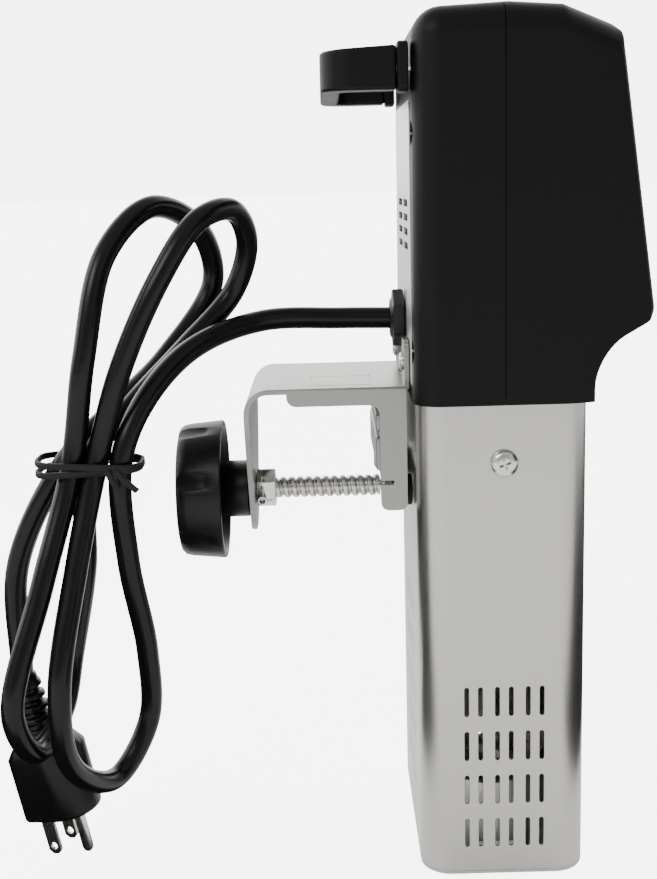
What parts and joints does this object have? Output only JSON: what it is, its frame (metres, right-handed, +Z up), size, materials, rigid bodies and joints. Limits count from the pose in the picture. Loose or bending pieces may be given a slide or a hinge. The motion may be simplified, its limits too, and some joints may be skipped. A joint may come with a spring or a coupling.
{
  "type": "sous vide circulator",
  "caption": "Upright stick immersion circulator: slotted steel tank, sloping black head, pot clamp with thumb knob, rear handle, tied mains lead.",
  "frame": {"origin": "middle of the tank's flat bottom face", "axes": "+Z up the tank, +X towards the sloping control face, -X towards the pot clamp and lead"},
  "size_m": [0.2748, 0.1544, 0.3594],
  "materials": {
    "tank_steel": "stainless sheet, fine lengthwise brushing",
    "clamp_steel": "stainless sheet, pressed and lightly brushed",
    "panel_steel": "bright stainless panel",
    "bright_steel": "plated or polished steel fasteners, screw and heater",
    "shell_black": "satin black moulded ABS, fine spark texture",
    "knob_black": "satin black phenolic",
    "gland_black": "black nylon",
    "rubber_black": "soft black rubber",
    "cord_black": "black vinyl jacket and moulded plug, semi gloss",
    "window": "smoked display window",
    "button_grey": "grey moulded key caps and nylon rotors",
    "button_white": "off-white moulded caps and bush",
    "board_green": "glass-fibre circuit board with parts",
    "motor_dark": "motor can, dark paint"
  },
  "bodies": {
    "root": {"tank_sleeve": "tank_steel", "tank_floor": "tank_steel", "tank_screw_near": "bright_steel", "tank_screw_far": "bright_steel", "chassis_plate": "panel_steel", "chassis_gasket": "rubber_black", "head_rear_shell": "shell_black", "head_front_shell": "shell_black", "shell_screw_low_near": "bright_steel", "shell_screw_low_far": "bright_steel", "shell_screw_high_near": "bright_steel", "shell_screw_high_far": "bright_steel", "rear_panel": "panel_steel", "control_panel": "shell_black", "display_window": "window", "control_board": "board_green", "handle_bow": "shell_black", "handle_collar_near": "shell_black", "handle_collar_far": "shell_black", "handle_screw_near": "bright_steel", "handle_screw_far": "bright_steel", "clamp_bracket": "clamp_steel", "bracket_screw_near": "bright_steel", "bracket_screw_far": "bright_steel", "clamp_nut": "bright_steel", "clamp_bumper_near": "rubber_black", "clamp_bumper_far": "rubber_black", "motor_stand": "panel_steel", "motor": "motor_dark", "shaft_column": "panel_steel", "shaft_bush": "button_white", "heater_coil": "bright_steel", "temperature_probe": "bright_steel", "level_probe_low": "bright_steel", "level_probe_high": "bright_steel", "power_board": "board_green", "gland_body": "gland_black", "gland_locknut": "gland_black", "mains_cord": "cord_black", "cord_tie": "rubber_black", "plug_body": "cord_black", "plug_blade_near": "bright_steel", "plug_blade_far": "bright_steel", "plug_earth_pin": "bright_steel"},
    "pad": {"pressure_pad": "bright_steel"},
    "screw": {"clamp_screw": "bright_steel", "clamp_knob": "knob_black", "knob_cap": "knob_black"},
    "rotor": {"rotor_shaft": "bright_steel", "cooling_fan": "button_grey", "impeller": "button_grey"},
    "power_key": {"power_button": "button_white"},
    "set_key": {"set_button": "button_grey"},
    "timer_key": {"timer_button": "button_grey"},
    "minus_key": {"minus_button": "button_grey"},
    "plus_key": {"plus_button": "button_grey"}
  },
  "joints": [
    {"name": "clamp_travel", "type": "slide", "parent": "root", "child": "pad", "axis": [-1, 0, 0], "range_m": [0, 0.045]},
    {"name": "clamp_turn", "type": "hinge", "parent": "pad", "child": "screw", "pos_m": [-0.1, 0, 0.16], "axis": [-1, 0, 0], "range_deg": [0, 4260]},
    {"name": "rotor_spin", "type": "hinge", "parent": "root", "child": "rotor", "pos_m": [0, 0, 0.2], "axis": [0, 0, 1], "continuous": true},
    {"name": "power_press", "type": "slide", "parent": "root", "child": "power_key", "axis": [-0.9901, 0, -0.1402], "range_m": [0, 0.0012], "stiffness_N_per_m": 600},
    {"name": "set_press", "type": "slide", "parent": "root", "child": "set_key", "axis": [-0.9901, 0, -0.1402], "range_m": [0, 0.0012], "stiffness_N_per_m": 600},
    {"name": "timer_press", "type": "slide", "parent": "root", "child": "timer_key", "axis": [-0.9901, 0, -0.1402], "range_m": [0, 0.0012], "stiffness_N_per_m": 600},
    {"name": "minus_press", "type": "slide", "parent": "root", "child": "minus_key", "axis": [-0.9901, 0, -0.1402], "range_m": [0, 0.0012], "stiffness_N_per_m": 600},
    {"name": "plus_press", "type": "slide", "parent": "root", "child": "plus_key", "axis": [-0.9901, 0, -0.1402], "range_m": [0, 0.0012], "stiffness_N_per_m": 600}
  ],
  "couplings": [
    {"joint": "clamp_travel", "follows": "clamp_turn", "m_per_rad": 0.00060479}
  ]
}
